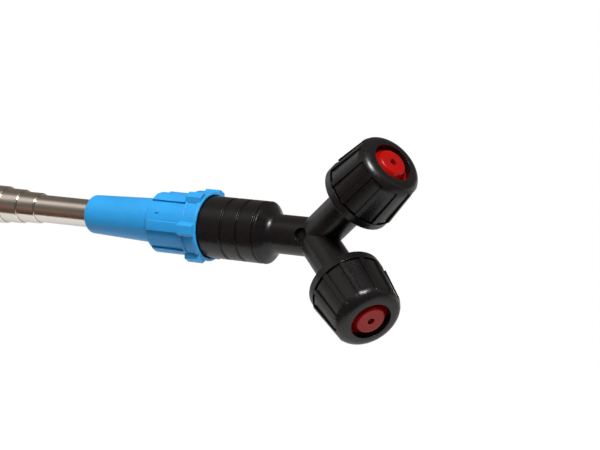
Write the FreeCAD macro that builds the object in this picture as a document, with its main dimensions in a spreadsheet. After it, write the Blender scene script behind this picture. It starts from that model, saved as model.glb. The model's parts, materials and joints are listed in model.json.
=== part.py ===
import FreeCAD, Part
import math
import os
import re

import Sketcher

# Front half of a telescopic spray lance with a twin-nozzle head, in millimetres.
# The lance lies along +X and points at its nozzles; +Z is up and the head's recess faces -Y.
# The origin is the centre of the sealing face of the inlet gasket, inside the rear union nut.

os.makedirs("parts", exist_ok=True)
doc = FreeCAD.newDocument("spray_lance")

# Driving dimensions: name, value in millimetres (angles in degrees, counts plain), meaning.
SIZES = [
    ("tube_radius", 4.5, "outside radius of the inner, thinnest tube"),
    ("tube_wall", 0.35, "wall of every tube"),
    ("slide_gap", 0.2, "radial gap between one tube and the bore of the next"),
    ("running_gap", 0.05, "radial clearance of a running fit"),
    ("glue_gap", 0.03, "radial clearance of a bonded fit"),
    ("seat_gap", 0.05, "axial clearance between faces that turn on each other"),
    ("collar_pitch", 6.9, "length of each outer tube left showing when closed"),
    ("inner_show", 21, "inner tube left showing in front of the collars"),
    ("outer_show", 155, "outer tube showing between rear ferrule and its rolled front"),
    ("roll_length", 1.2, "length of a tube's rolled front lip"),
    ("carrier_head", 10, "length of a seal carrier's head"),
    ("carrier_stub", 8, "length of the carrier's stub inside its tube"),
    ("carrier_bore", 2.4, "radius of the water way through a carrier"),
    ("carrier_space", 1.5, "axial space between one carrier and the next"),
    ("ring_section", 0.6, "section radius of a sliding seal ring"),
    ("ring_free", 0.02, "clearance of a seal ring in its tube"),
    ("ring_room", 0.15, "side clearance of a seal ring in its groove"),
    ("gasket_thick", 1, "thickness of a union gasket"),
    ("gasket_radius", 7.4, "outside radius of a union gasket"),
    ("way_radius", 3.2, "radius of the water way through gasket and ferrule"),
    ("flange_radius", 7.6, "radius of the ferrule's clamped flange"),
    ("flange_thick", 2, "thickness of the ferrule's clamped flange"),
    ("slip_thick", 0.7, "thickness of the slip ring behind the flange"),
    ("sleeve_radius", 7.1, "ferrule sleeve radius inside the nut"),
    ("sleeve_end", 6.2, "front ferrule radius at its free end"),
    ("rear_sleeve_end", 7, "rear ferrule radius at its free end"),
    ("sleeve_round", 1.1, "rounding of the ferrule's free end"),
    ("rear_sleeve_round", 0.5, "rounding of the rear ferrule's free end"),
    ("ferrule_reach", 31, "gasket face to the ferrule's free end"),
    ("socket_floor", 9, "gasket face to the floor of the tube socket"),
    ("socket_stub", 8, "length of the ferrule's stub inside the tube"),
    ("nut_thread", 8.2, "root radius of the nut's thread"),
    ("nut_relief", 0.2, "depth of the relief behind the nut's thread"),
    ("nut_hole", 0.2, "radial clearance of the nut on the sleeve"),
    ("nut_body", 9.25, "nut radius between its ribs"),
    ("nut_rib", 9.9, "nut radius over its ribs"),
    ("rib_angle", 18, "width of a nut rib, degrees"),
    ("rib_slope", 0.8, "length of the slope at a rib's rear end"),
    ("grip_root", 0.2, "depth to which ribs and lugs are rooted in the nut"),
    ("grip_count", 6, "ribs and lugs round the nut"),
    ("nut_turn_angle", 13.5, "turn of the front nut's ribs from the head's front side, degrees"),
    ("mouth_reach", 14.2, "gasket face to the nut's mouth"),
    ("mouth_gap", 0.3, "radial gap between the nut's counterbore and the barrel"),
    ("flange_web", 0.7, "wall that the flange leaves behind the nut's counterbore"),
    ("mouth_flange", 10.8, "radius of that flange"),
    ("flange_edge", 0.4, "chamfer of the flange's front edge"),
    ("front_rim", 1.5, "flange rim left in front of its shallow recess"),
    ("rear_rim", 0.6, "flange rim left behind its shallow recess"),
    ("flange_sink", 0.3, "depth of the flange's shallow recess"),
    ("lug_radius", 11.9, "radius over the flange's lugs"),
    ("lug_top", 2.6, "width of a lug at its top"),
    ("lug_foot", 4.6, "width of a lug at its foot"),
    ("lug_inset", 0.4, "front end of a lug behind the nut's mouth"),
    ("lug_length", 5.3, "length of a lug"),
    ("nut_tail", 5.4, "gasket face to the nut's rear end"),
    ("tail_chamfer", 0.5, "chamfer of the nut's rear end"),
    ("barrel_radius", 9.6, "radius of the head's grip barrel"),
    ("barrel_chamfer", 0.7, "chamfer of the barrel's rear edge"),
    ("barrel_start", 40.3, "junction to the barrel's rear face"),
    ("barrel_gap", 0.7, "axial gap between the nut's thread and the barrel"),
    ("spigot_length", 10.2, "length of the threaded spigot"),
    ("spigot_radius", 7.5, "core radius of the threaded spigot"),
    ("spigot_chamfer", 0.8, "chamfer of the spigot's end"),
    ("groove_first", 16.9, "junction to the centre of the first grip groove"),
    ("groove_pitch", 5.6, "pitch of the grip grooves"),
    ("groove_width", 1.2, "width of a grip groove at the surface"),
    ("groove_floor", 0.5, "width of a grip groove's floor"),
    ("groove_depth", 0.45, "depth of a grip groove"),
    ("shoulder_land", 0.05, "land between the first groove and the barrel's front shoulder"),
    ("shoulder_round", 0.3, "rounding of the barrel's front shoulder"),
    ("shoulder_angle", 52, "slope of the cone between barrel and neck, degrees"),
    ("neck_fillet", 3.2, "fillet where that cone meets the neck"),
    ("neck_radius", 6, "radius of the neck"),
    ("strainer_radius", 4.9, "radius of the strainer's collar"),
    ("strainer_length", 18, "length of the strainer"),
    ("strainer_wall", 0.9, "wall of the strainer's collar and ribs"),
    ("strainer_collar", 1.8, "length of the strainer's collar"),
    ("strainer_count", 4, "ribs of the strainer"),
    ("strainer_rib_angle", 24, "width of a strainer rib, degrees"),
    ("mesh_wall", 0.25, "thickness of the strainer's gauze"),
    ("neck_bore", 3.5, "radius of the water way in the neck"),
    ("branch_angle", 42.8, "angle between neck and branch, degrees"),
    ("branch_spread_angle", 60, "turn of a branch from the head's front side, degrees"),
    ("branch_radius", 5.85, "radius of a branch"),
    ("branch_bore", 2.6, "radius of the water way in a branch"),
    ("branch_thread", 8, "core radius of a branch's thread"),
    ("branch_flare", 1.6, "length of the flare behind the thread"),
    ("branch_end", 33.9, "junction to the branch's end face"),
    ("recess_radius", 2.1, "radius of the round recess at the crotch"),
    ("recess_depth", 1.6, "depth of the round recess at the crotch"),
    ("recess_offset", 2.1, "recess centre behind the junction"),
    ("cap_start", 20.95, "junction to the cap's rear face"),
    ("cap_length", 18.1, "length of a cap"),
    ("cap_turn_angle", 7, "turn of a cap on its branch, degrees"),
    ("cap_ring", 11.5, "radius of the ring at the cap's rear"),
    ("cap_ring_chamfer", 0.45, "chamfer of that ring's rear edge"),
    ("cap_ring_length", 2.9, "length of the ring at the cap's rear"),
    ("cap_neck", 0.7, "length of the neck in front of that ring"),
    ("cap_neck_depth", 0.65, "depth of that neck"),
    ("cap_round", 3.7, "rounding of the cap's front"),
    ("cap_rear_radius", 11.85, "cap radius at the rear of its grip"),
    ("cap_front_radius", 10.65, "cap radius at the front of its grip"),
    ("cap_bore", 8.8, "root radius of the cap's thread"),
    ("cap_front_wall", 2.4, "thickness of the cap's front wall"),
    ("cap_opening", 6.25, "radius of the cap's front opening"),
    ("panel_count", 12, "sunk grip panels round a cap"),
    ("panel_angle", 23.5, "width of a grip panel, degrees"),
    ("panel_rear_depth", 0.65, "depth of a grip panel at its rear end"),
    ("panel_front_depth", 0.4, "depth of a grip panel where the front rounding starts"),
    ("panel_end_angle", 31, "turn round the cap's front rounding at which a panel ends, degrees"),
    ("panel_overrun", 0.5, "length by which a panel's cut runs past the cap's surface"),
    ("tip_radius", 4.3, "radius of the nozzle tip's face"),
    ("tip_root", 5.7, "radius of the nozzle boss at its root"),
    ("tip_chamfer", 0.25, "chamfer of the nozzle face"),
    ("tip_flange", 8.4, "radius of the nozzle's flange"),
    ("tip_flange_thick", 1.3, "thickness of the nozzle's flange"),
    ("orifice_radius", 1.1, "radius of the spray orifice"),
    ("core_radius", 4, "radius of the swirl core"),
    ("core_thick", 2, "thickness of the swirl core"),
    ("core_slot_count", 4, "swirl slots in the core"),
    ("core_slot", 0.9, "width of a swirl slot"),
    ("core_slot_overrun", 0.4, "length by which a swirl slot's cut runs past the core"),
    ("core_slot_depth", 0.8, "depth of a swirl slot"),
    ("core_chamber", 1.7, "radius of the swirl chamber"),
    ("nozzle_gasket", 8.3, "outside radius of a nozzle gasket"),
    ("nozzle_gasket_hole", 3.1, "inside radius of a nozzle gasket"),
]

# Lengths that follow from the driving dimensions, each written once.
DERIVED = {
    "mouth_radius": "barrel_radius + mouth_gap",
    "flange_back": "gasket_thick + flange_thick",
    "slip_start": "flange_back + seat_gap",
    "slip_end": "slip_start + slip_thick",
    "nut_seat": "slip_end + seat_gap",
    "sleeve_hole": "sleeve_radius + nut_hole",
    "thread_length": "spigot_length - barrel_gap",
    "flange_length": "mouth_reach - thread_length + flange_web",
    # radii of the four tubes, from the inside out
    "tube_step": "tube_wall + slide_gap",
    "second_radius": "tube_radius + tube_step",
    "third_radius": "second_radius + tube_step",
    "outer_radius": "third_radius + tube_step",
    # places along the lance
    "outer_rear": "socket_floor",
    "outer_front": "ferrule_reach + outer_show",
    "third_front": "outer_front + collar_pitch",
    "second_front": "third_front + collar_pitch",
    "front_gasket": "second_front + inner_show + ferrule_reach",
    "inner_front": "front_gasket - socket_floor",
    "junction": "front_gasket + seat_gap + spigot_reach",
    "third_rear": "socket_floor + socket_stub + carrier_space + carrier_head",
    "second_rear": "third_rear + carrier_stub + carrier_space + carrier_head",
    "inner_rear": "second_rear + carrier_stub + carrier_space + carrier_head",
    # places along the head, from the junction backwards
    "spigot_reach": "barrel_start + spigot_length",
    "shoulder_reach": "groove_first - groove_width / 2 - shoulder_land",
    "cone_drop": "barrel_radius - neck_radius - (shoulder_round + neck_fillet) * (1 - cos(shoulder_angle))",
    "cone_rear": "shoulder_reach - shoulder_round * sin(shoulder_angle)",
    "cone_front": "cone_rear - cone_drop / tan(shoulder_angle)",
    "neck_rear": "cone_front - neck_fillet * sin(shoulder_angle)",
    "strainer_seat": "strainer_radius + running_gap",
    "strainer_seat_cone": "strainer_radius - neck_bore",
    # places along a branch
    "cap_front": "cap_start + cap_length",
    "cap_inside": "cap_front - cap_front_wall",
    "grip_rear": "cap_start + cap_ring_length + cap_neck",
    "round_start": "cap_front - cap_round",
    "tip_front": "cap_inside - seat_gap",
    "tip_rear": "tip_front - tip_flange_thick",
    "core_front": "tip_rear + core_thick",
}

sheet = doc.addObject("Spreadsheet::Sheet", "Sizes")
for row, (alias, size, meaning) in enumerate(SIZES, start=1):
    sheet.set(f"A{row}", meaning)
    sheet.set(f"B{row}", str(size))
    sheet.setAlias(f"B{row}", alias)
doc.recompute()
ALIASES = {alias for alias, size, meaning in SIZES}


def formula(text):
    """Spell out a formula of size names as an expression on the sheet."""

    def spell(match):
        word = match.group()
        if word in ALIASES:
            return "Sizes." + word
        return "(" + formula(DERIVED[word]) + ")" if word in DERIVED else word

    return re.sub(r"[a-z][a-z_]*", spell, text)


def amount(text):
    """Value of a formula of size names."""
    return float(sheet.evalExpression(formula(text)))


def bind(feature, name, text):
    feature.setExpression(name, formula(text))


def new_body(name):
    body = doc.addObject("PartDesign::Body", name)
    body.Label = name
    return body


def origin_feature(body, role):
    return next(item for item in body.Origin.OriginFeatures if item.Role == role)


def new_sketch(body, name, plane="XZ_Plane", offset=FreeCAD.Placement()):
    sketch = body.newObject("Sketcher::SketchObject", name)
    sketch.AttachmentSupport = [(origin_feature(body, plane), "")]
    sketch.MapMode = "FlatFace"
    sketch.AttachmentOffset = offset
    return sketch


def side_of(sketch, start, end, centre=None):
    """Add one side of an outline and say which of its ends is the start."""
    if centre is None:
        return sketch.addGeometry(Part.LineSegment(start, end)), 1, 2
    first = math.atan2(start.y - centre.y, start.x - centre.x)
    last = math.atan2(end.y - centre.y, end.x - centre.x)
    circle = Part.Circle(centre, FreeCAD.Vector(0, 0, 1), start.distanceToPoint(centre))
    if (last - first) % (2 * math.pi) < math.pi:
        return sketch.addGeometry(Part.ArcOfCircle(circle, first, last)), 1, 2
    return sketch.addGeometry(Part.ArcOfCircle(circle, last, first)), 2, 1


def draw_outline(sketch, corners):
    """Closed outline through corners (x, y), each tied to its formulas.

    A third entry (x, y) in a corner makes the side after it an arc round that centre.
    """
    points = [FreeCAD.Vector(amount(x), amount(y), 0) for x, y, *centre in corners]
    sides = []
    for index, (x, y, *centres) in enumerate(corners):
        end = points[(index + 1) % len(points)]
        middle = [FreeCAD.Vector(amount(centre_x), amount(centre_y), 0) for centre_x, centre_y in centres]
        sides.append(side_of(sketch, points[index], end, *middle))
    for index, (side, start, end) in enumerate(sides):
        following, follow_start, follow_end = sides[(index + 1) % len(sides)]
        sketch.addConstraint(Sketcher.Constraint("Coincident", side, end, following, follow_start))
    for index, (side, start, end) in enumerate(sides):
        x, y, *centres = corners[index]
        dimension(sketch, "DistanceX", side, start, f"x{index}", x)
        dimension(sketch, "DistanceY", side, start, f"y{index}", y)
        for centre_x, centre_y in centres:
            dimension(sketch, "DistanceX", side, 3, f"c{index}", centre_x)


def dimension(sketch, kind, side, point, name, text):
    index = sketch.addConstraint(Sketcher.Constraint(kind, -1, 1, side, point, amount(text)))
    sketch.renameConstraint(index, name)
    bind(sketch, f"Constraints.{name}", text)


def turned(body, name, corners, kind="Revolution", plane="XZ_Plane", offset=FreeCAD.Placement(), angle=None):
    """Turn an outline of (x, radius) corners round the body's X axis, all round or by an angle."""
    sketch = new_sketch(body, name + "_outline", plane, offset)
    draw_outline(sketch, corners)
    feature = body.newObject("PartDesign::" + kind, name)
    feature.Profile = sketch
    feature.ReferenceAxis = (sketch, ["H_Axis"])
    feature.Angle = 360
    if angle:
        feature.Midplane = True
        bind(feature, "Angle", angle)
    return feature


def around(body, name, feature, count):
    """Repeat a feature round the body's X axis."""
    pattern = body.newObject("PartDesign::PolarPattern", name)
    pattern.Originals = [feature]
    pattern.Axis = (origin_feature(body, "X_Axis"), [""])
    pattern.Angle = 360
    bind(pattern, "Occurrences", count)
    body.Tip = pattern
    return pattern


def mirrored(body, name, feature):
    """Repeat a feature below the body's XY plane."""
    mirror = body.newObject("PartDesign::Mirrored", name)
    mirror.Originals = [feature]
    mirror.MirrorPlane = (origin_feature(body, "XY_Plane"), [""])
    body.Tip = mirror
    return mirror


def place(body, start="0", rotation=FreeCAD.Rotation()):
    """Set a body on the lance's axis at a formula's place."""
    body.Placement = FreeCAD.Placement(FreeCAD.Vector(amount(start), 0, 0), rotation)
    bind(body, "Placement.Base.x", start)


def disc_outline(rear, front, inside, outside):
    return [(rear, inside), (rear, outside), (front, outside), (front, inside)]


# The head's own directions

BACKWARD = FreeCAD.Rotation(FreeCAD.Vector(0, 0, 1), 180)


def branch_rotation(side):
    """Rotation that lays the X axis of a cap along its branch: side 1 above, -1 below."""
    tilt = math.radians(amount("branch_angle"))
    spread = math.radians(amount("branch_spread_angle"))
    along = FreeCAD.Vector(
        math.cos(tilt),
        -math.sin(tilt) * math.cos(spread),
        side * math.sin(tilt) * math.sin(spread),
    )
    level = along.cross(FreeCAD.Vector(1, 0, 0)).normalize() * -side
    turn = FreeCAD.Rotation(FreeCAD.Vector(1, 0, 0), amount("cap_turn_angle"))
    return FreeCAD.Rotation(along, level, along.cross(level), "XYZ") * turn


# Telescopic tubes

def tube(name, rear, front, radius, inner_radius=None):
    """Thin tube; with the radius of the tube inside it, its front is rolled in to guide that tube."""
    body = new_body(name)
    bore = f"{radius} - tube_wall"
    corners = [(rear, bore), (rear, radius)]
    if inner_radius is None:
        corners += [(front, radius), (front, bore)]
    else:
        lip = f"{inner_radius} + running_gap"
        roll = f"{radius} - ({lip})"
        corners += [
            (f"{front} - ({roll})", radius, (f"{front} - ({roll})", lip)),
            (front, lip),
            (f"{front} - roll_length", lip),
            (f"{front} - roll_length - slide_gap", bore),
        ]
    turned(body, "wall", corners)
    return body


def seal_carrier(name, rear, radius, outer_radius):
    """Plug bonded in a tube's rear end: a head that slides in the next tube, grooved for a seal ring."""
    body = new_body(name)
    head = f"{outer_radius} - tube_wall - running_gap"
    floor = f"{outer_radius} - tube_wall - ring_free - 2 * ring_section - running_gap"
    groove = f"{rear} - carrier_head / 2"
    half = "(ring_section + ring_room)"
    corners = [
        (f"{rear} - carrier_head", "carrier_bore"),
        (f"{rear} - carrier_head", head),
        (f"{groove} - {half}", head),
        (f"{groove} - {half}", floor),
        (f"{groove} + {half}", floor),
        (f"{groove} + {half}", head),
        (rear, head),
        (rear, f"{radius} - tube_wall - glue_gap"),
        (f"{rear} + carrier_stub", f"{radius} - tube_wall - glue_gap"),
        (f"{rear} + carrier_stub", "carrier_bore"),
    ]
    turned(body, "plug", corners)
    return body


def seal_ring(name, rear, outer_radius):
    """Sliding seal ring in the carrier's groove."""
    ring = doc.addObject("Part::Torus", name)
    ring.Label = name
    bind(ring, "Radius1", f"{outer_radius} - tube_wall - ring_free - ring_section")
    bind(ring, "Radius2", "ring_section")
    place(ring, f"{rear} - carrier_head / 2", FreeCAD.Rotation(FreeCAD.Vector(0, 1, 0), 90))
    return ring


# Union fitting, used at both ends: a ferrule on the tube, gasket, slip ring and nut.
# Its own X runs from the gasket's sealing face towards the ferrule's free end.

def ferrule(name, radius, free_end, rounding):
    body = new_body(name)
    socket = f"{radius} + glue_gap"
    stub = f"{radius} - tube_wall - glue_gap"
    corners = [
        ("gasket_thick", "way_radius"),
        ("gasket_thick", "flange_radius"),
        ("flange_back", "flange_radius"),
        ("flange_back", "sleeve_radius"),
        ("nut_tail", "sleeve_radius"),
        (f"ferrule_reach - {rounding}", free_end, (f"ferrule_reach - {rounding}", f"{free_end} - {rounding}")),
        ("ferrule_reach", f"{free_end} - {rounding}"),
        ("ferrule_reach", socket),
        ("socket_floor", socket),
        ("socket_floor", stub),
        ("socket_floor + socket_stub", stub),
        ("socket_floor + socket_stub", "way_radius"),
    ]
    turned(body, "sleeve", corners)
    return body


def union_gasket(name):
    body = new_body(name)
    turned(body, "ring", disc_outline("0", "gasket_thick", "way_radius", "gasket_radius"))
    return body


def slip_ring(name):
    body = new_body(name)
    turned(body, "ring", disc_outline("slip_start", "slip_end", "sleeve_radius + running_gap", "flange_radius"))
    return body


def union_nut(name):
    """Hand nut: ribbed body, lugged flange round the mouth, cone at the rear, bored for its thread."""
    body = new_body(name)
    relief = "nut_thread + nut_relief"
    flange_rear = "flange_length - mouth_reach"
    flange_floor = "mouth_flange - flange_sink"
    turned(body, "blank", [
        ("0 - mouth_reach", "mouth_radius"),
        ("0 - mouth_reach", "mouth_flange - flange_edge"),
        ("flange_edge - mouth_reach", "mouth_flange"),
        ("front_rim - mouth_reach", "mouth_flange"),
        ("front_rim - mouth_reach", flange_floor),
        (f"{flange_rear} - rear_rim", flange_floor),
        (f"{flange_rear} - rear_rim", "mouth_flange"),
        (flange_rear, "mouth_flange"),
        (flange_rear, "nut_body"),
        ("nut_tail - tail_chamfer", "nut_body"),
        ("nut_tail", "nut_body - tail_chamfer"),
        ("nut_tail", "sleeve_hole"),
        ("nut_seat", "sleeve_hole"),
        ("nut_seat", relief),
        ("0", relief),
        ("0", "nut_thread"),
        ("0 - thread_length", "nut_thread"),
        ("0 - thread_length", "mouth_radius"),
    ])
    rib = turned(body, "rib", [
        (flange_rear, "nut_body - grip_root"),
        (flange_rear, "nut_rib"),
        ("nut_tail - tail_chamfer - rib_slope", "nut_rib"),
        ("nut_tail - tail_chamfer", "nut_body - grip_root"),
    ], plane="XY_Plane", angle="rib_angle")
    around(body, "ribs", rib, "grip_count")
    around(body, "lugs", flange_lug(body), "grip_count")
    return body


def flange_lug(body):
    """Lug with sloped sides, standing on the flange round the nut's mouth."""
    start = "lug_inset - mouth_reach"
    offset = FreeCAD.Placement(FreeCAD.Vector(0, 0, amount(start)), FreeCAD.Rotation())
    sketch = new_sketch(body, "lug_outline", "YZ_Plane", offset)
    bind(sketch, "AttachmentOffset.Base.z", start)
    foot = "mouth_flange - flange_sink - grip_root"
    draw_outline(sketch, [
        (foot, "0 - lug_foot / 2"),
        ("lug_radius", "0 - lug_top / 2"),
        ("lug_radius", "lug_top / 2"),
        (foot, "lug_foot / 2"),
    ])
    lug = body.newObject("PartDesign::Pad", "lug")
    lug.Profile = sketch
    bind(lug, "Length", "lug_length")
    return lug


# Twin-nozzle head

def y_body(name):
    """Moulded Y: threaded spigot, grip barrel, neck and two branches, with its water ways."""
    body = new_body(name)
    corners = [
        ("0 - spigot_reach", "0"),
        ("0 - spigot_reach", "spigot_radius - spigot_chamfer"),
        ("spigot_chamfer - spigot_reach", "spigot_radius"),
        ("0 - barrel_start", "spigot_radius"),
        ("0 - barrel_start", "barrel_radius - barrel_chamfer"),
        ("barrel_chamfer - barrel_start", "barrel_radius"),
    ]
    for step in (2, 1, 0):
        centre = f"0 - groove_first - {step} * groove_pitch"
        corners += [
            (f"{centre} - groove_width / 2", "barrel_radius"),
            (f"{centre} - groove_floor / 2", "barrel_radius - groove_depth"),
            (f"{centre} + groove_floor / 2", "barrel_radius - groove_depth"),
            (f"{centre} + groove_width / 2", "barrel_radius"),
        ]
    round_drop = "shoulder_round * (1 - cos(shoulder_angle))"
    fillet_rise = "neck_fillet * (1 - cos(shoulder_angle))"
    corners += [
        ("0 - shoulder_reach", "barrel_radius", ("0 - shoulder_reach", "barrel_radius - shoulder_round")),
        ("0 - cone_rear", f"barrel_radius - {round_drop}"),
        ("0 - cone_front", f"neck_radius + {fillet_rise}", ("0 - neck_rear", "neck_radius + neck_fillet")),
        ("0 - neck_rear", "neck_radius"),
        ("0", "neck_radius", ("0", "0")),
        ("neck_radius", "0"),
    ]
    turned(body, "barrel_and_neck", corners)
    tilt = FreeCAD.Rotation(FreeCAD.Vector(0, 0, 1), amount("branch_angle"))
    lean = FreeCAD.Rotation(FreeCAD.Vector(1, 0, 0), 180 - amount("branch_spread_angle"))
    along_branch = FreeCAD.Placement(FreeCAD.Vector(), lean * tilt)
    branch = turned(body, "branch", [
        ("0", "0"),
        ("0", "branch_radius"),
        ("cap_start", "branch_radius"),
        ("cap_start + branch_flare", "branch_thread"),
        ("branch_end - spigot_chamfer", "branch_thread"),
        ("branch_end", "branch_thread - spigot_chamfer"),
        ("branch_end", "0"),
    ], plane="XY_Plane", offset=along_branch)
    mirrored(body, "branches", branch)
    turned(body, "water_way", [
        ("0 - spigot_reach", "0"),
        ("0 - spigot_reach", "strainer_seat"),
        ("strainer_length + running_gap - spigot_reach", "strainer_seat"),
        ("strainer_length + strainer_seat_cone - spigot_reach", "neck_bore"),
        ("0", "neck_bore", ("0", "0")),
        ("neck_bore", "0"),
    ], kind="Groove")
    branch_way = turned(body, "branch_way", [
        ("0", "0"),
        ("0", "branch_bore"),
        ("branch_end", "branch_bore"),
        ("branch_end", "0"),
    ], kind="Groove", plane="XY_Plane", offset=along_branch)
    mirrored(body, "branch_ways", branch_way)
    crotch_recess(body)
    return body


def crotch_recess(body):
    """Round recess between the branches, sunk from the head's -Y side."""
    floor = amount("neck_radius - recess_depth")
    sketch = new_sketch(body, "recess_outline", offset=FreeCAD.Placement(FreeCAD.Vector(0, 0, floor), FreeCAD.Rotation()))
    bind(sketch, "AttachmentOffset.Base.z", "neck_radius - recess_depth")
    centre = FreeCAD.Vector(amount("0 - recess_offset"), 0, 0)
    circle = sketch.addGeometry(Part.Circle(centre, FreeCAD.Vector(0, 0, 1), amount("recess_radius")))
    radius = sketch.addConstraint(Sketcher.Constraint("Radius", circle, amount("recess_radius")))
    sketch.renameConstraint(radius, "radius")
    bind(sketch, "Constraints.radius", "recess_radius")
    sketch.addConstraint(Sketcher.Constraint("PointOnObject", circle, 3, -1))
    dimension(sketch, "DistanceX", circle, 3, "centre", "0 - recess_offset")
    pocket = body.newObject("PartDesign::Pocket", "recess")
    pocket.Profile = sketch
    pocket.Reversed = True
    pocket.Type = "ThroughAll"


def strainer_frame(name):
    """Strainer's frame: collar at the inlet, ribs and a closed end."""
    body = new_body(name)
    inside = "strainer_radius - strainer_wall"
    turned(body, "collar", disc_outline("0", "strainer_collar", inside, "strainer_radius"))
    turned(body, "end_plate", disc_outline("strainer_length - strainer_wall", "strainer_length", "0", "strainer_radius"))
    rib = turned(
        body, "rib", disc_outline("strainer_wall", "strainer_length - strainer_wall / 2", inside, "strainer_radius"),
        angle="strainer_rib_angle",
    )
    around(body, "ribs", rib, "strainer_count")
    return body


def strainer_mesh(name):
    """Gauze sleeve inside the strainer's ribs."""
    body = new_body(name)
    outside = "strainer_radius - strainer_wall - glue_gap"
    turned(body, "gauze", disc_outline(
        "0", "strainer_length - strainer_wall - glue_gap", f"{outside} - mesh_wall", outside,
    ))
    return body


# Nozzle stack on each branch; its own X runs along the branch from the junction

def on_rounding(radius):
    """Corner where a panel ends, at a radius from the centre of the cap's front rounding."""
    return (
        f"round_start + ({radius}) * sin(panel_end_angle)",
        f"cap_front_radius - cap_round + ({radius}) * cos(panel_end_angle)",
    )


def nozzle_cap(name):
    """Screw cap: ring at the rear, sunk grip panels between narrow ribs, rounded front with an opening."""
    body = new_body(name)
    turned(body, "shell", [
        ("cap_start", "cap_bore"),
        ("cap_start", "cap_ring - cap_ring_chamfer"),
        ("cap_start + cap_ring_chamfer", "cap_ring"),
        ("cap_start + cap_ring_length", "cap_ring"),
        ("cap_start + cap_ring_length", "cap_ring - cap_neck_depth"),
        ("grip_rear", "cap_ring - cap_neck_depth"),
        ("grip_rear", "cap_rear_radius"),
        ("round_start", "cap_front_radius", ("round_start", "cap_front_radius - cap_round")),
        ("cap_front", "cap_front_radius - cap_round"),
        ("cap_front", "cap_opening"),
        ("cap_inside", "cap_opening"),
        ("cap_inside", "cap_bore"),
    ])
    panel = turned(body, "panel", [
        ("grip_rear", "cap_rear_radius - panel_rear_depth"),
        ("round_start", "cap_front_radius - panel_front_depth", ("round_start", "cap_front_radius - cap_round")),
        on_rounding("cap_round - panel_front_depth"),
        on_rounding("cap_round + panel_overrun"),
        ("round_start + (cap_round + panel_overrun) * sin(panel_end_angle)", "cap_rear_radius + panel_overrun"),
        ("grip_rear", "cap_rear_radius + panel_overrun"),
    ], kind="Groove", angle="panel_angle")
    around(body, "panels", panel, "panel_count")
    return body


def nozzle_tip(name):
    """Nozzle tip: clamped flange, tapered boss with a flat face, cavity for the core and the orifice."""
    body = new_body(name)
    turned(body, "boss", [
        ("tip_rear", "core_radius + running_gap"),
        ("tip_rear", "tip_flange"),
        ("tip_front", "tip_flange"),
        ("tip_front", "tip_root"),
        ("cap_front - tip_chamfer", "tip_radius"),
        ("cap_front", "tip_radius - tip_chamfer"),
        ("cap_front", "orifice_radius"),
        ("core_front + seat_gap", "orifice_radius"),
        ("core_front + seat_gap", "core_radius + running_gap"),
    ])
    return body


def swirl_core(name):
    """Disc with a swirl chamber and slots that set the spray turning."""
    body = new_body(name)
    turned(body, "disc", [
        ("tip_rear", "0"),
        ("tip_rear", "core_radius"),
        ("core_front", "core_radius"),
        ("core_front", "core_chamber"),
        ("core_front - core_slot_depth", "core_chamber"),
        ("core_front - core_slot_depth", "0"),
    ])
    sketch = new_sketch(body, "slot_outline")
    draw_outline(sketch, [
        ("core_front - core_slot_depth", "core_chamber / 2"),
        ("core_front - core_slot_depth", "core_radius + core_slot_overrun"),
        ("core_front + core_slot_overrun", "core_radius + core_slot_overrun"),
        ("core_front + core_slot_overrun", "core_chamber / 2"),
    ])
    slot = body.newObject("PartDesign::Pocket", "slot")
    slot.Profile = sketch
    slot.Reversed = True
    bind(slot, "Length", "core_slot")
    around(body, "slots", slot, "core_slot_count")
    return body


def nozzle_gasket(name):
    body = new_body(name)
    turned(body, "ring", disc_outline(
        "branch_end + seat_gap", "tip_rear", "nozzle_gasket_hole", "nozzle_gasket",
    ))
    return body


subparts = []

# Rear union and the four tubes, from the rear forwards
rear_union = [
    ferrule("rear_ferrule", "outer_radius", "rear_sleeve_end", "rear_sleeve_round"),
    union_gasket("rear_gasket"),
    slip_ring("rear_slip_ring"),
    union_nut("rear_nut"),
]
for body in rear_union:
    place(body)
subparts += rear_union

subparts.append(tube("outer_tube", "outer_rear", "outer_front", "outer_radius", "third_radius"))
stages = [
    ("third", "third_rear", "third_front", "third_radius", "outer_radius", "second_radius"),
    ("second", "second_rear", "second_front", "second_radius", "third_radius", "tube_radius"),
    ("inner", "inner_rear", "inner_front", "tube_radius", "second_radius", None),
]
for stage, rear, front, radius, outer_radius, inner_radius in stages:
    subparts.append(tube(stage + "_tube", rear, front, radius, inner_radius))
    subparts.append(seal_carrier(stage + "_seal_carrier", rear, radius, outer_radius))
    subparts.append(seal_ring(stage + "_seal_ring", rear, outer_radius))

# Front union, the same fitting turned to face the head
front_union = [
    ferrule("front_ferrule", "tube_radius", "sleeve_end", "sleeve_round"),
    union_gasket("front_gasket"),
    slip_ring("front_slip_ring"),
    union_nut("front_nut"),
]
nut_turn = FreeCAD.Rotation(FreeCAD.Vector(1, 0, 0), amount("nut_turn_angle"))
for body in front_union:
    place(body, "front_gasket", nut_turn * BACKWARD)
subparts += front_union

# Head and its strainer
head = y_body("y_body")
place(head, "junction")
frame = strainer_frame("strainer_frame")
mesh = strainer_mesh("strainer_mesh")
for body in (frame, mesh):
    place(body, "junction - spigot_reach")
subparts += [head, frame, mesh]

# Nozzle stacks
for level, side in (("upper", 1), ("lower", -1)):
    stack = [
        nozzle_cap(level + "_cap"),
        nozzle_tip(level + "_nozzle_tip"),
        swirl_core(level + "_swirl_core"),
        nozzle_gasket(level + "_nozzle_gasket"),
    ]
    for body in stack:
        place(body, "junction", branch_rotation(side))
    subparts += stack

doc.recompute()

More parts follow.
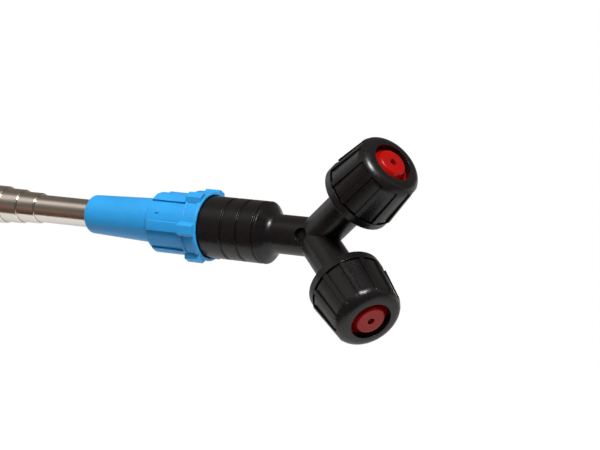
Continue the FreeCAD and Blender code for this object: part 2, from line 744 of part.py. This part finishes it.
for item in doc.Objects:
    if "Invalid" in item.State or "Error" in item.State:
        raise RuntimeError(f"{item.Name} failed: {item.State}")
for subpart in subparts:
    shape = subpart.Shape
    if shape.isNull() or not shape.isValid():
        raise RuntimeError(f"{subpart.Label} has no valid shape")
    print(f"{subpart.Label}: {len(shape.Solids)} solid, {shape.Volume:.1f} mm3")
    shape.exportStep(f"parts/{subpart.Label}.step")
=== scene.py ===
import json
import math

import bmesh
import bpy
from mathutils import Matrix, Vector


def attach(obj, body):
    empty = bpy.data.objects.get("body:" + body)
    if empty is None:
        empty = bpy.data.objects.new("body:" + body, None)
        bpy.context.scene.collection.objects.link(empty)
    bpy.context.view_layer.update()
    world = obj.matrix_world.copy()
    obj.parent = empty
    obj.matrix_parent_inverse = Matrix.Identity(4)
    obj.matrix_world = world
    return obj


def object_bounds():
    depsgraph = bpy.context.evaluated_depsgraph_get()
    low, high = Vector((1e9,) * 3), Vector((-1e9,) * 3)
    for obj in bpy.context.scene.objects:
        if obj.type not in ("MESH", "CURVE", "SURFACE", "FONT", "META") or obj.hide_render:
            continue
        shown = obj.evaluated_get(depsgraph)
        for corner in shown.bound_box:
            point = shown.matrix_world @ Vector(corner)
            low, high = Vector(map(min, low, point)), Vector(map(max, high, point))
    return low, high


# Telescopic spray lance with a twin-nozzle head. Metres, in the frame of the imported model:
# +X along the lance towards its nozzles, +Z up, and the head's branches lean to -Y.

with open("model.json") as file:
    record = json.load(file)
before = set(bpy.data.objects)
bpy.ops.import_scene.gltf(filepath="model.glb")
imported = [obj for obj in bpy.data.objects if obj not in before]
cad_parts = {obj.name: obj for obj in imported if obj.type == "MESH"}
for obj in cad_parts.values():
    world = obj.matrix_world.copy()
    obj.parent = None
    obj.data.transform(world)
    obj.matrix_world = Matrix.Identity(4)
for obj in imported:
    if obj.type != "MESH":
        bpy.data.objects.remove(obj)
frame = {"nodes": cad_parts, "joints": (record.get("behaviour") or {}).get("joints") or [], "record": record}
cad_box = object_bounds()

MM = 0.001


def joint(name):
    """Entry of the frame's joint of that name."""
    return next(entry for entry in frame["joints"] if entry["name"] == name)


# Places that the frame gives

UPPER_BRANCH = Vector(joint("upper_cap_turn")["axis"])
LOWER_BRANCH = Vector(joint("lower_cap_turn")["axis"])
UPPER_SEAT = Vector(joint("upper_cap_turn")["pos_m"])
JUNCTION = UPPER_SEAT - UPPER_BRANCH * (UPPER_SEAT.z / UPPER_BRANCH.z)
FRONT_GASKET = Vector(joint("front_nut_turn")["pos_m"])
REAR_GASKET = Vector(joint("rear_nut_turn")["pos_m"])
FORWARD = Vector((1, 0, 0))


# Camera

VIEW_AZIMUTH = math.radians(28.97)
VIEW_ELEVATION = math.radians(-3.97)
VIEW_ROLL = math.radians(8.13)
VIEW_DISTANCE = 0.5158
VIEW_LENS = 103.34
SENSOR_WIDTH = 36
NEAREST_SEEN = 0.01
FARTHEST_SEEN = 20
AIM_LEFT = 4.72 * MM
AIM_UP = 3.81 * MM


def make_camera():
    """Camera at the picture's angle, aimed beside the head's junction. Gives its right, up and back."""
    back = Vector((
        math.sin(VIEW_AZIMUTH) * math.cos(VIEW_ELEVATION),
        -math.cos(VIEW_AZIMUTH) * math.cos(VIEW_ELEVATION),
        math.sin(VIEW_ELEVATION),
    ))
    level = Vector((math.cos(VIEW_AZIMUTH), math.sin(VIEW_AZIMUTH), 0))
    rise = back.cross(level)
    right = level * math.cos(VIEW_ROLL) + rise * math.sin(VIEW_ROLL)
    up = back.cross(right)
    data = bpy.data.cameras.new("camera")
    data.lens = VIEW_LENS
    data.sensor_width = SENSOR_WIDTH
    data.clip_start = NEAREST_SEEN
    data.clip_end = FARTHEST_SEEN
    camera = bpy.data.objects.new("camera", data)
    aim = JUNCTION - right * AIM_LEFT + up * AIM_UP
    turn = Matrix((right, up, back)).transposed().to_4x4()
    camera.matrix_world = Matrix.Translation(aim + back * VIEW_DISTANCE) @ turn
    bpy.context.scene.collection.objects.link(camera)
    bpy.context.scene.camera = camera
    return right, up, back


VIEW_RIGHT, VIEW_UP, VIEW_BACK = make_camera()


# Materials

WHITE = (1, 1, 1)

# Values that noise keeps to for most of a surface
NOISE_LOW = 0.35
NOISE_HIGH = 0.65

# Rays that find out how near an edge or a corner is
PROBES = 8

# Agreement of the rounded and the true normal: on an edge, and on the flat beside it
ON_EDGE = 0.80
OFF_EDGE = 0.99

# Ambient occlusion in a groove, and on an open surface
IN_GROOVE = 0.35
IN_OPEN = 0.95


class Nodes:
    """Shorthand for building a node tree."""

    def __init__(self, tree):
        self.tree = tree
        tree.nodes.clear()

    def add(self, kind, **settings):
        """New node with its settings."""
        node = self.tree.nodes.new(kind)
        for name, setting in settings.items():
            setattr(node, name, setting)
        return node

    def link(self, source, target):
        """Join an output to an input."""
        self.tree.links.new(source, target)

    def noise(self, scale, detail=4.0, stretch=(1, 1, 1)):
        """Noise in object space, in cells a metre, stretched along the axes."""
        place = self.add("ShaderNodeTexCoord")
        mapping = self.add("ShaderNodeMapping")
        mapping.inputs["Scale"].default_value = stretch
        texture = self.add("ShaderNodeTexNoise")
        texture.inputs["Scale"].default_value = scale
        texture.inputs["Detail"].default_value = detail
        self.link(place.outputs["Object"], mapping.inputs["Vector"])
        self.link(mapping.outputs["Vector"], texture.inputs["Vector"])
        return texture.outputs["Fac"]

    def spread(self, source, low, high, start=NOISE_LOW, end=NOISE_HIGH):
        """Map start to end, by itself the middle of a noise, onto low to high."""
        node = self.add("ShaderNodeMapRange")
        node.inputs["From Min"].default_value = start
        node.inputs["From Max"].default_value = end
        node.inputs["To Min"].default_value = low
        node.inputs["To Max"].default_value = high
        self.link(source, node.inputs["Value"])
        return node.outputs["Result"]

    def calculate(self, operation, first, second):
        """Math on a socket and either another socket or a number."""
        node = self.add("ShaderNodeMath", operation=operation)
        self.link(first, node.inputs[0])
        if hasattr(second, "is_output"):
            self.link(second, node.inputs[1])
        else:
            node.inputs[1].default_value = second
        return node.outputs["Value"]

    def along(self, direction, axis):
        """How far a direction goes along an axis."""
        product = self.add("ShaderNodeVectorMath", operation="DOT_PRODUCT")
        product.inputs[1].default_value = axis
        self.link(direction, product.inputs[0])
        return product.outputs["Value"]

    def seen(self):
        """1 for what the camera sees, also through clear pieces, and 0 for what lights and reflects."""
        path = self.add("ShaderNodeLightPath")
        camera = path.outputs["Is Camera Ray"]
        return self.calculate("MAXIMUM", camera, path.outputs["Is Transmission Ray"])

    def blend(self, factor, first, second):
        """Mix two colours by a factor socket."""
        node = self.add("ShaderNodeMix", data_type="RGBA")
        self.link(factor, node.inputs[0])
        for socket, colour in ((node.inputs[6], first), (node.inputs[7], second)):
            if hasattr(colour, "is_output"):
                self.link(colour, socket)
            else:
                socket.default_value = (*colour, 1)
        return node.outputs[2]

    def bump(self, height, strength, distance, smooth=None):
        """Normal of a relief, on top of a smooth normal if there is one."""
        node = self.add("ShaderNodeBump")
        node.inputs["Strength"].default_value = strength
        node.inputs["Distance"].default_value = distance
        self.link(height, node.inputs["Height"])
        if smooth:
            self.link(smooth, node.inputs["Normal"])
        return node.outputs["Normal"]

    def softened(self, radius):
        """Normal that rounds every edge over, and a mask that is 1 on those edges."""
        bevel = self.add("ShaderNodeBevel", samples=PROBES)
        bevel.inputs["Radius"].default_value = radius
        geometry = self.add("ShaderNodeNewGeometry")
        agreement = self.add("ShaderNodeVectorMath", operation="DOT_PRODUCT")
        self.link(bevel.outputs["Normal"], agreement.inputs[0])
        self.link(geometry.outputs["Normal"], agreement.inputs[1])
        return bevel.outputs["Normal"], self.spread(agreement.outputs["Value"], 1, 0, ON_EDGE, OFF_EDGE)

    def occlusion_shade(self, reach, darkest):
        """Mask for painted shade: 1 on open surfaces, down to darkest in grooves and corners narrower than
        reach.
        """
        shade = self.add("ShaderNodeAmbientOcclusion", samples=PROBES)
        shade.inputs["Distance"].default_value = reach
        return self.spread(shade.outputs["AO"], darkest, 1, IN_GROOVE, IN_OPEN)


def times(colour, share):
    """Darker colour."""
    return tuple(channel * share for channel in colour)


def finish_shader(nodes, colour, roughness, normal, **uniform):
    """Shader with sockets for colour, roughness and normal, and values that are the same all over."""
    shader = nodes.add("ShaderNodeBsdfPrincipled")
    output = nodes.add("ShaderNodeOutputMaterial")
    nodes.link(shader.outputs["BSDF"], output.inputs["Surface"])
    nodes.link(colour, shader.inputs["Base Color"])
    nodes.link(roughness, shader.inputs["Roughness"])
    nodes.link(normal, shader.inputs["Normal"])
    for name, setting in uniform.items():
        shader.inputs[name.replace("_", " ")].default_value = setting
    return shader


def new_material(name):
    """Empty material and its nodes."""
    material = bpy.data.materials.new(name)
    material.use_nodes = True
    return material, Nodes(material.node_tree)


# Moulded plastic: cells a metre of its noises, and how far they go
WEAR_AND_HIGHLIGHT_SCALE = 420
WEAR_AND_HIGHLIGHT_LEAST = 0.35
WEAR_AND_HIGHLIGHT_MOST = 0.95
GLOSS_SCALE = 900
GLOSS_LEAST = 0.85
GLOSS_MOST = 1.2
GRAIN_SCALE = 2600
GRAIN_STRENGTH = 0.15
GRAIN_DEPTH = 0.02 * MM
CLOUD_TINT = 0.86
# Painted shade in grooves and corners: share of the colour that it keeps, and how far the occlusion looks
PAINTED_GROOVE_SHADE = 0.5
GROOVE_REACH = 1.1 * MM


def moulded_plastic(
    name, colour, worn_and_highlit, roughness, clouds=60, edge=0.2 * MM, shine=0.4, darkest=0.75, **uniform
):
    """Moulded plastic: cloudy tint, fine grain, softly rounded edges made lighter by rubbed wear and a
    painted highlight, painted shade in grooves that also dims their reflection.
    """
    material, nodes = new_material(name)
    cloud = nodes.spread(nodes.noise(clouds, detail=3), 0, 1)
    tinted = nodes.blend(cloud, times(colour, CLOUD_TINT), colour)
    rounded, on_edge = nodes.softened(edge)
    # Lighter edges: partly rubbed wear, partly a painted highlight along the edges
    wear_and_highlight_noise = nodes.spread(nodes.noise(WEAR_AND_HIGHLIGHT_SCALE, detail=5), WEAR_AND_HIGHLIGHT_LEAST, WEAR_AND_HIGHLIGHT_MOST)
    wear_and_highlight_mask = nodes.calculate("MULTIPLY", on_edge, wear_and_highlight_noise)
    # Painted shade: ambient occlusion darkens the colour in grooves and corners
    painted_groove_shade = nodes.occlusion_shade(GROOVE_REACH, darkest)
    shaded = nodes.blend(painted_groove_shade, times(colour, darkest * PAINTED_GROOVE_SHADE), tinted)
    surface = nodes.blend(wear_and_highlight_mask, shaded, worn_and_highlit)
    patches = nodes.noise(GLOSS_SCALE, detail=4)
    gloss = nodes.spread(patches, roughness * GLOSS_LEAST, roughness * GLOSS_MOST)
    grain = nodes.noise(GRAIN_SCALE, detail=2)
    relief = nodes.bump(grain, GRAIN_STRENGTH, GRAIN_DEPTH, rounded)
    shader = finish_shader(nodes, surface, gloss, relief, **uniform)
    # The same painted shade dims the specular reflection in grooves and corners
    nodes.link(nodes.calculate("MULTIPLY", painted_groove_shade, shine), shader.inputs["Specular IOR Level"])
    return material


# Drawn steel: cells a metre of its lines and smears, how far both stretch along X, and what they do
LINE_SCALE = 1800
LINE_STRETCH = (0.02, 1, 1)
LINE_STRENGTH = 0.12
LINE_DEPTH = 0.004 * MM
LINE_GLOSS_LEAST = 0.7
LINE_GLOSS_MOST = 1.35
SMEAR_SCALE = 45
SMEAR_STRETCH = (0.4, 1, 1)
SMEAR_TINT = 0.9
STEEL_EDGE = 0.35 * MM


def drawn_steel(name, colour, roughness):
    """Drawn and polished stainless tube: fine lines along X, faint smears."""
    material, nodes = new_material(name)
    lines = nodes.noise(LINE_SCALE, detail=3, stretch=LINE_STRETCH)
    smear = nodes.spread(nodes.noise(SMEAR_SCALE, detail=4, stretch=SMEAR_STRETCH), 0, 1)
    tinted = nodes.blend(smear, times(colour, SMEAR_TINT), colour)
    gloss = nodes.spread(lines, roughness * LINE_GLOSS_LEAST, roughness * LINE_GLOSS_MOST)
    rounded, _ = nodes.softened(STEEL_EDGE)
    relief = nodes.bump(lines, LINE_STRENGTH, LINE_DEPTH, rounded)
    finish_shader(nodes, tinted, gloss, relief, Metallic=1.0)
    return material


# Strainer cloth: its weave and the gaps in it
WEAVE_SCALE = 2500
WEAVE_COLOURS = {
    "Color1": (0.8, 0.82, 0.83, 1),
    "Color2": (0.7, 0.73, 0.75, 1),
    "Mortar": (0.12, 0.13, 0.14, 1),
}
WEAVE_STRENGTH = 0.5
WEAVE_DEPTH = 0.05 * MM
CLOTH_SCALE = 3000
CLOTH_ROUGHNESS = (0.5, 0.7)


def gauze(name):
    """Fine woven strainer cloth."""
    material, nodes = new_material(name)
    place = nodes.add("ShaderNodeTexCoord")
    weave = nodes.add("ShaderNodeTexBrick")
    weave.inputs["Scale"].default_value = WEAVE_SCALE
    for socket, colour in WEAVE_COLOURS.items():
        weave.inputs[socket].default_value = colour
    nodes.link(place.outputs["Object"], weave.inputs["Vector"])
    gloss = nodes.spread(nodes.noise(CLOTH_SCALE), *CLOTH_ROUGHNESS)
    relief = nodes.bump(weave.outputs["Fac"], WEAVE_STRENGTH, WEAVE_DEPTH)
    finish_shader(nodes, weave.outputs["Color"], gloss, relief)
    return material


# The second colour of each plastic is its edges' colour: partly rubbed wear, partly painted highlight
# darkest: how far each plastic's painted shade in grooves darkens it
blue = moulded_plastic(
    "blue_polypropylene",
    (0.030, 0.375, 0.84),
    (0.13, 0.56, 0.97),
    0.34,
    shine=0.33,
    darkest=0.7,
    IOR=1.49,
    Subsurface_Weight=0.12,
    Subsurface_Scale=1.2 * MM,
)
black = moulded_plastic(
    "black_nylon",
    (0.0078, 0.0070, 0.0072),
    (0.020, 0.019, 0.020),
    0.28,
    edge=0.16 * MM,
    shine=0.37,
    darkest=0.12,
    IOR=1.5,
)
red = moulded_plastic(
    "red_acetal",
    (0.385, 0.0030, 0.002),
    (0.46, 0.010, 0.007),
    0.26,
    clouds=150,
    edge=0.12 * MM,
    shine=0.3,
    IOR=1.48,
)
acetal = moulded_plastic("natural_acetal", (0.78, 0.77, 0.72), (0.84, 0.83, 0.8), 0.45, IOR=1.48)
rubber = moulded_plastic("nitrile_rubber", (0.02, 0.02, 0.021), (0.05, 0.05, 0.05), 0.62, IOR=1.5)
steel = drawn_steel("polished_stainless", (0.80, 0.75, 0.69), 0.16)
strainer_cloth = gauze("strainer_cloth")

FINISHES = {
    "polished_stainless": steel,
    "blue_polypropylene": blue,
    "black_moulding": black,
    "red_nozzle": red,
    "natural_acetal": acetal,
    "seal_rubber": rubber,
    "strainer_gauze": strainer_cloth,
}


def finish_nodes():
    """Give every node of the model the finish of its material slot."""
    for entry in frame["record"]["subparts"]:
        node = frame["nodes"][entry["node"]]
        node.data.materials.clear()
        node.data.materials.append(FINISHES[entry["material_slot"]])


finish_nodes()


# Screw threads, which the model leaves plain. The ridges of a screw and of its nut or cap lie half a
# pitch apart.

THREAD_PITCH = 2.0 * MM
HALF_PITCH = THREAD_PITCH / 2
STEPS_PER_TURN = 40

# Half widths of a ridge, in pitches
HALF_ROOT = 0.36
HALF_CREST = 0.1

# Turns over which a ridge runs out, and the least share of its height and width that it keeps there
RUN_OUT_TURNS = 0.5
LEAST_HEIGHT = 0.05
LEAST_WIDTH = 0.2


def new_piece(name, mesh, material, body):
    """Make an object of a bmesh, which it frees, and hang it on a body of the model."""
    bmesh.ops.recalc_face_normals(mesh, faces=mesh.faces)
    data = bpy.data.meshes.new(name)
    mesh.to_mesh(data)
    mesh.free()
    data.materials.append(material)
    piece = bpy.data.objects.new(name, data)
    bpy.context.scene.collection.objects.link(piece)
    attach(piece, body)


def ridge_section(root, crest, run_out):
    """Corners across a ridge: their radius, and their place along the axis."""
    tip = root + (crest - root) * run_out
    half_root = THREAD_PITCH * HALF_ROOT * max(run_out, LEAST_WIDTH)
    half_crest = THREAD_PITCH * HALF_CREST * max(run_out, LEAST_WIDTH)
    return (root, -half_root), (tip, -half_crest), (tip, half_crest), (root, half_root)


def join_rings(mesh, rings):
    """Skin from ring to ring, closed at both ends."""
    for ring, following in zip(rings, rings[1:]):
        for corner in range(4):
            after = (corner + 1) % 4
            mesh.faces.new((ring[corner], ring[after], following[after], following[corner]))
    mesh.faces.new(list(reversed(rings[0])))
    mesh.faces.new(rings[-1])


def thread(name, start, axis, length, root, crest, body, material):
    """Right-handed helical ridge from root to crest radius, running out at both ends."""
    side = axis.orthogonal().normalized()
    other = axis.cross(side)
    turns = length / THREAD_PITCH
    count = int(turns * STEPS_PER_TURN)
    mesh = bmesh.new()
    rings = []
    for step in range(count + 1):
        share = step / count
        angle = 2 * math.pi * turns * share
        outward = side * math.cos(angle) + other * math.sin(angle)
        to_end = min(share, 1 - share) * turns / RUN_OUT_TURNS
        section = ridge_section(root, crest, max(LEAST_HEIGHT, min(1, to_end)))
        centre = start + axis * (length * share)
        rings.append([
            mesh.verts.new(centre + outward * radius + axis * offset)
            for radius, offset in section
        ])
    join_rings(mesh, rings)
    new_piece(name, mesh, material, body)


# Radii of the cores and bores that the ridges stand on, and of the ridges' crests
SPIGOT_CORE = 7.5 * MM
SPIGOT_CREST = 8.05 * MM
NUT_ROOT = 8.2 * MM
NUT_CREST = 7.65 * MM
BRANCH_CORE = 8.0 * MM
BRANCH_CREST = 8.6 * MM
CAP_ROOT = 8.8 * MM
CAP_CREST = 8.2 * MM

# How deep a ridge's root sinks into what it stands on
RIDGE_ROOT = 0.04 * MM

# Start of each thread, from its gasket or from the junction, and its length
SPIGOT_START = 1.3 * MM
SPIGOT_LENGTH = 7.8 * MM
FRONT_NUT_LENGTH = 6.6 * MM
REAR_NUT_START = 8.6 * MM
REAR_NUT_LENGTH = 7.2 * MM
BRANCH_START = 23.6 * MM
BRANCH_LENGTH = 9.2 * MM
CAP_LENGTH = 9.4 * MM


def union_threads():
    """Spigot thread at the front joint and the threads of both hand nuts."""
    spigot_start = FRONT_GASKET + FORWARD * SPIGOT_START
    thread(
        "spigot_thread", spigot_start, FORWARD, SPIGOT_LENGTH,
        SPIGOT_CORE - RIDGE_ROOT, SPIGOT_CREST, "head", black,
    )
    thread(
        "front_nut_thread", spigot_start + FORWARD * HALF_PITCH, FORWARD, FRONT_NUT_LENGTH,
        NUT_ROOT + RIDGE_ROOT, NUT_CREST, "front_hand_nut", blue,
    )
    thread(
        "rear_nut_thread", REAR_GASKET - FORWARD * REAR_NUT_START, FORWARD, REAR_NUT_LENGTH,
        NUT_ROOT + RIDGE_ROOT, NUT_CREST, "rear_hand_nut", blue,
    )


def branch_threads(level, branch):
    """Threads of a branch and of its cap."""
    start = JUNCTION + branch * BRANCH_START
    thread(
        level + "_branch_thread", start, branch, BRANCH_LENGTH,
        BRANCH_CORE - RIDGE_ROOT, BRANCH_CREST, "head", black,
    )
    thread(
        level + "_cap_thread", start - branch * HALF_PITCH, branch, CAP_LENGTH,
        CAP_ROOT + RIDGE_ROOT, CAP_CREST, level + "_screw_cap", black,
    )


union_threads()
branch_threads("upper", UPPER_BRANCH)
branch_threads("lower", LOWER_BRANCH)


# Gate marks: the small nub that moulding leaves between two ribs of each hand nut

GATE_RADIUS = 0.75 * MM
GATE_HEIGHT = 0.5 * MM
GATE_SEGMENTS = 20
GATE_RINGS = 12
NUT_BODY = 9.25 * MM

# Place of each mark: from its nut's gasket towards the tubes, and round the lance in degrees
GATE_PAST_GASKET = 1.2 * MM
FRONT_GATE_ANGLE = 14
REAR_GATE_ANGLE = 152.5


def gate_mark(name, centre, outward, body):
    """Low dome on the nut's wall, outward of a point on the lance's axis."""
    mesh = bmesh.new()
    bmesh.ops.create_uvsphere(mesh, u_segments=GATE_SEGMENTS, v_segments=GATE_RINGS, radius=GATE_RADIUS)
    flatten = Matrix.Diagonal((1, 1, GATE_HEIGHT / GATE_RADIUS, 1))
    turn = outward.to_track_quat("Z", "Y").to_matrix().to_4x4()
    place = Matrix.Translation(centre + outward * NUT_BODY) @ turn @ flatten
    bmesh.ops.transform(mesh, matrix=place, verts=mesh.verts)
    for face in mesh.faces:
        face.smooth = True
    new_piece(name, mesh, blue, body)


def around_lance(degrees):
    """Direction across the lance, in degrees from -Y towards +Z."""
    return Vector((0, -math.cos(math.radians(degrees)), math.sin(math.radians(degrees))))


front_gate = FRONT_GASKET - FORWARD * GATE_PAST_GASKET
rear_gate = REAR_GASKET + FORWARD * GATE_PAST_GASKET
gate_mark("front_nut_gate", front_gate, around_lance(FRONT_GATE_ANGLE), "front_hand_nut")
gate_mark("rear_nut_gate", rear_gate, around_lance(REAR_GATE_ANGLE), "rear_hand_nut")


# Set: table, room and lamp

FLOOR_DROP = 0.22
TABLE_FRONT = 0.09
TABLE_REACH = 6.0
TABLE_TURN = math.radians(-25)
TABLE_GLOW = 0.26
TABLE_COLOUR = (0.85, 0.85, 0.86, 1)
TABLE_ROUGHNESS = 0.9


def table_corners():
    """Corners of the table, whose near edge runs slantwise a short way in front of the head."""
    level = cad_box[0].z - FLOOR_DROP
    turn = Matrix.Rotation(TABLE_TURN, 3, "Z")
    behind = turn @ -Vector((VIEW_BACK.x, VIEW_BACK.y, 0)).normalized()
    aside = Vector((-behind.y, behind.x, 0))
    middle = Vector((JUNCTION.x, JUNCTION.y, level))
    return [
        middle - behind * TABLE_FRONT - aside * TABLE_REACH,
        middle - behind * TABLE_FRONT + aside * TABLE_REACH,
        middle + behind * TABLE_REACH + aside * TABLE_REACH,
        middle + behind * TABLE_REACH - aside * TABLE_REACH,
    ]


def table_material():
    """White to the camera; to everything else a white table that glows a little."""
    material, nodes = new_material("floor")
    glow = nodes.calculate("MAXIMUM", nodes.seen(), TABLE_GLOW)
    shader = nodes.add("ShaderNodeBsdfPrincipled")
    shader.inputs["Base Color"].default_value = TABLE_COLOUR
    shader.inputs["Roughness"].default_value = TABLE_ROUGHNESS
    shader.inputs["Specular IOR Level"].default_value = 0
    shader.inputs["Emission Color"].default_value = (*WHITE, 1)
    nodes.link(glow, shader.inputs["Emission Strength"])
    output = nodes.add("ShaderNodeOutputMaterial")
    nodes.link(shader.outputs["BSDF"], output.inputs["Surface"])
    return material


def make_floor():
    """Table under the object."""
    mesh = bpy.data.meshes.new("floor")
    mesh.from_pydata(table_corners(), [], [(0, 1, 2, 3)])
    mesh.materials.append(table_material())
    floor = bpy.data.objects.new("floor", mesh)
    bpy.context.scene.collection.objects.link(floor)


# Room that lights the object and shows in it: share of a turn about the picture's level axis, and the
# colour there. 0 is straight behind the object, 0.25 under it, 0.5 at the main view's camera, 0.75 overhead
# and 1 straight behind again. The tube mirrors the room's left side, and the head mostly its right side.
ROOM_LEFT = [
    (0.0, (0.9, 0.9, 0.9)),
    (0.19, (0.85, 0.83, 0.80)),
    (0.215, (0.07, 0.038, 0.025)),
    (0.31, (0.09, 0.05, 0.033)),
    (0.40, (0.16, 0.10, 0.075)),
    (0.455, (0.22, 0.135, 0.105)),
    (0.54, (0.14, 0.12, 0.105)),
    (0.61, (0.15, 0.135, 0.12)),
    (0.66, (0.26, 0.235, 0.21)),
    (0.70, (0.72, 0.66, 0.60)),
    (0.735, (0.82, 0.76, 0.70)),
    (0.775, (0.34, 0.31, 0.28)),
    (0.82, (0.17, 0.155, 0.14)),
    (0.85, (0.17, 0.155, 0.14)),
    (0.88, (0.85, 0.85, 0.85)),
    (1.0, (0.9, 0.9, 0.9)),
]
ROOM_RIGHT = [
    (0.0, (0.9, 0.9, 0.9)),
    (0.34, (0.8, 0.78, 0.75)),
    (0.37, (0.07, 0.035, 0.025)),
    (0.415, (0.09, 0.05, 0.035)),
    (0.44, (0.08, 0.075, 0.07)),
    (0.595, (0.09, 0.085, 0.08)),
    (0.615, (0.50, 0.47, 0.43)),
    (0.67, (0.50, 0.47, 0.43)),
    (0.70, (0.14, 0.12, 0.105)),
    (0.95, (0.17, 0.15, 0.135)),
    (0.98, (0.85, 0.85, 0.85)),
    (1.0, (0.9, 0.9, 0.9)),
]


# How far to the main view's right a direction goes where the room's left side gives way to its right one
LEFT_ENDS = -0.62
RIGHT_STARTS = -0.42


def room_side(nodes, share, stops):
    """Colours of one side of the room."""
    ramp = nodes.add("ShaderNodeValToRGB")
    nodes.link(share, ramp.inputs["Fac"])
    for position, colour in stops[1:-1]:
        ramp.color_ramp.elements.new(position)
    for element, (position, colour) in zip(ramp.color_ramp.elements, stops):
        element.position = position
        element.color = (*colour, 1)
    return ramp.outputs["Color"]


def make_world():
    """White to the camera; to all else a dark room, nearly white behind and with a pale band above."""
    world = bpy.data.worlds.new("studio")
    bpy.context.scene.world = world
    world.use_nodes = True
    nodes = Nodes(world.node_tree)
    direction = nodes.add("ShaderNodeTexCoord").outputs["Generated"]
    angle = nodes.calculate("ARCTAN2", nodes.along(direction, VIEW_UP), nodes.along(direction, VIEW_BACK))
    share = nodes.spread(angle, 0, 1, -math.pi, math.pi)
    to_right = nodes.spread(nodes.along(direction, VIEW_RIGHT), 0, 1, LEFT_ENDS, RIGHT_STARTS)
    room = nodes.blend(to_right, room_side(nodes, share, ROOM_LEFT), room_side(nodes, share, ROOM_RIGHT))
    colour = nodes.blend(nodes.seen(), room, WHITE)
    background = nodes.add("ShaderNodeBackground")
    output = nodes.add("ShaderNodeOutputWorld")
    nodes.link(colour, background.inputs["Color"])
    nodes.link(background.outputs["Background"], output.inputs["Surface"])


KEY_TOWARDS = (0.08, 0.72, 0.69)
KEY_DISTANCE = 0.9
KEY_SIDE = 0.2
KEY_POWER = 10


def soft_box(name, towards, distance, width, height, power):
    """Area lamp that looks at the head from a direction in the main view's right, up and back."""
    data = bpy.data.lights.new(name, "AREA")
    data.shape = "RECTANGLE"
    data.size = width
    data.size_y = height
    data.energy = power
    lamp = bpy.data.objects.new(name, data)
    direction = VIEW_RIGHT * towards[0] + VIEW_UP * towards[1] + VIEW_BACK * towards[2]
    direction.normalize()
    lamp.location = JUNCTION + direction * distance
    lamp.rotation_mode = "QUATERNION"
    lamp.rotation_quaternion = direction.to_track_quat("Z", "Y")
    bpy.context.scene.collection.objects.link(lamp)


make_floor()
make_world()
soft_box("key", KEY_TOWARDS, KEY_DISTANCE, KEY_SIDE, KEY_SIDE, KEY_POWER)

bpy.context.scene.view_settings.view_transform = "Standard"
